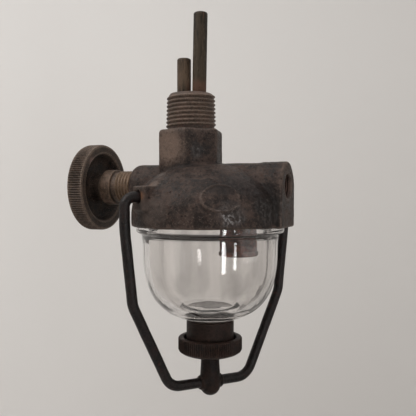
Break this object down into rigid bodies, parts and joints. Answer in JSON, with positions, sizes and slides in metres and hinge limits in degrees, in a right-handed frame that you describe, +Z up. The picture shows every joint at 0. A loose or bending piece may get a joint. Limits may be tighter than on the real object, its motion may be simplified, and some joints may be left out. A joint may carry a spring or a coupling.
{
  "type": "fuel sediment bowl",
  "caption": "Cast-iron fuel sediment bowl with a handwheel shutoff valve, main and reserve standpipes, side outlet port, glass bowl and a wire bail with clamp nut.",
  "frame": {"origin": "centre of the male pipe thread's upper end, on the inlet's axis", "axes": "+Z up along the inlet's axis; +X along the cross barrel, from the handwheel towards the outlet port; the bowl's axis is parallel to Z at x = 7.4 mm"},
  "size_m": [0.083, 0.0602, 0.1364],
  "materials": {
    "body": "weathered cast iron, brown rust film, oily in places",
    "standpipe": "drawn steel tube with a brown patina and rust bloom",
    "packing_nut": "tarnished brass, bright thread crests",
    "stem": "turned steel, oily brown",
    "handwheel": "rusted cast iron, knurl worn to tan",
    "wheel_fastener": "plain steel, light rust",
    "brass_internal": "machined brass",
    "packing": "graphited packing, matt black",
    "disc": "fuel-resistant rubber",
    "strainer": "reddish bronze with dark tarnish",
    "gasket": "cork and rubber sheet, dark with fuel",
    "bowl": "clear pressed glass",
    "bail": "oily black steel wire with red-brown rust",
    "clamp": "dark rusty iron"
  },
  "bodies": {
    "root": {"valve_body": "body", "main_standpipe": "standpipe", "reserve_standpipe": "standpipe", "packing_nut": "packing_nut", "packing_ring_outer": "packing", "packing_ring_inner": "packing", "packing_washer": "brass_internal", "valve_seat": "brass_internal", "strainer_ferrule": "strainer", "strainer_gauze": "strainer", "strainer_cap": "strainer", "bowl_gasket": "gasket", "glass_bowl": "bowl"},
    "plunger": {"valve_plunger": "brass_internal", "valve_disc": "disc", "disc_screw": "brass_internal"},
    "wheel": {"valve_stem": "stem", "handwheel": "handwheel", "wheel_washer": "wheel_fastener", "wheel_nut": "wheel_fastener"},
    "bail": {"bail_wire": "bail", "clamp_stud": "clamp"},
    "cup": {"clamp_cup": "clamp", "cup_pad": "gasket"},
    "nut": {"thumb_nut": "clamp"}
  },
  "joints": [
    {"name": "plunger_slide", "type": "slide", "parent": "root", "child": "plunger", "axis": [-1, 0, 0], "range_m": [0, 0.00477]},
    {"name": "handwheel_turn", "type": "hinge", "parent": "plunger", "child": "wheel", "pos_m": [-0.0397, 0, -0.0332], "axis": [-1, 0, 0], "range_deg": [0, 1080]},
    {"name": "bail_swing", "type": "hinge", "parent": "root", "child": "bail", "pos_m": [0.0074, 0, -0.0367], "axis": [-0.5592, -0.829, 0], "range_deg": [-50, 110]},
    {"name": "cup_slide", "type": "slide", "parent": "bail", "child": "cup", "axis": [0, 0, -1], "range_m": [0, 0.00318]},
    {"name": "nut_turn", "type": "hinge", "parent": "cup", "child": "nut", "pos_m": [0.0074, 0, -0.0895], "axis": [0, 0, -1], "range_deg": [0, 720]}
  ],
  "couplings": [
    {"joint": "plunger_slide", "follows": "handwheel_turn", "m_per_rad": 0.00025266},
    {"joint": "cup_slide", "follows": "nut_turn", "m_per_rad": 0.00025266}
  ]
}
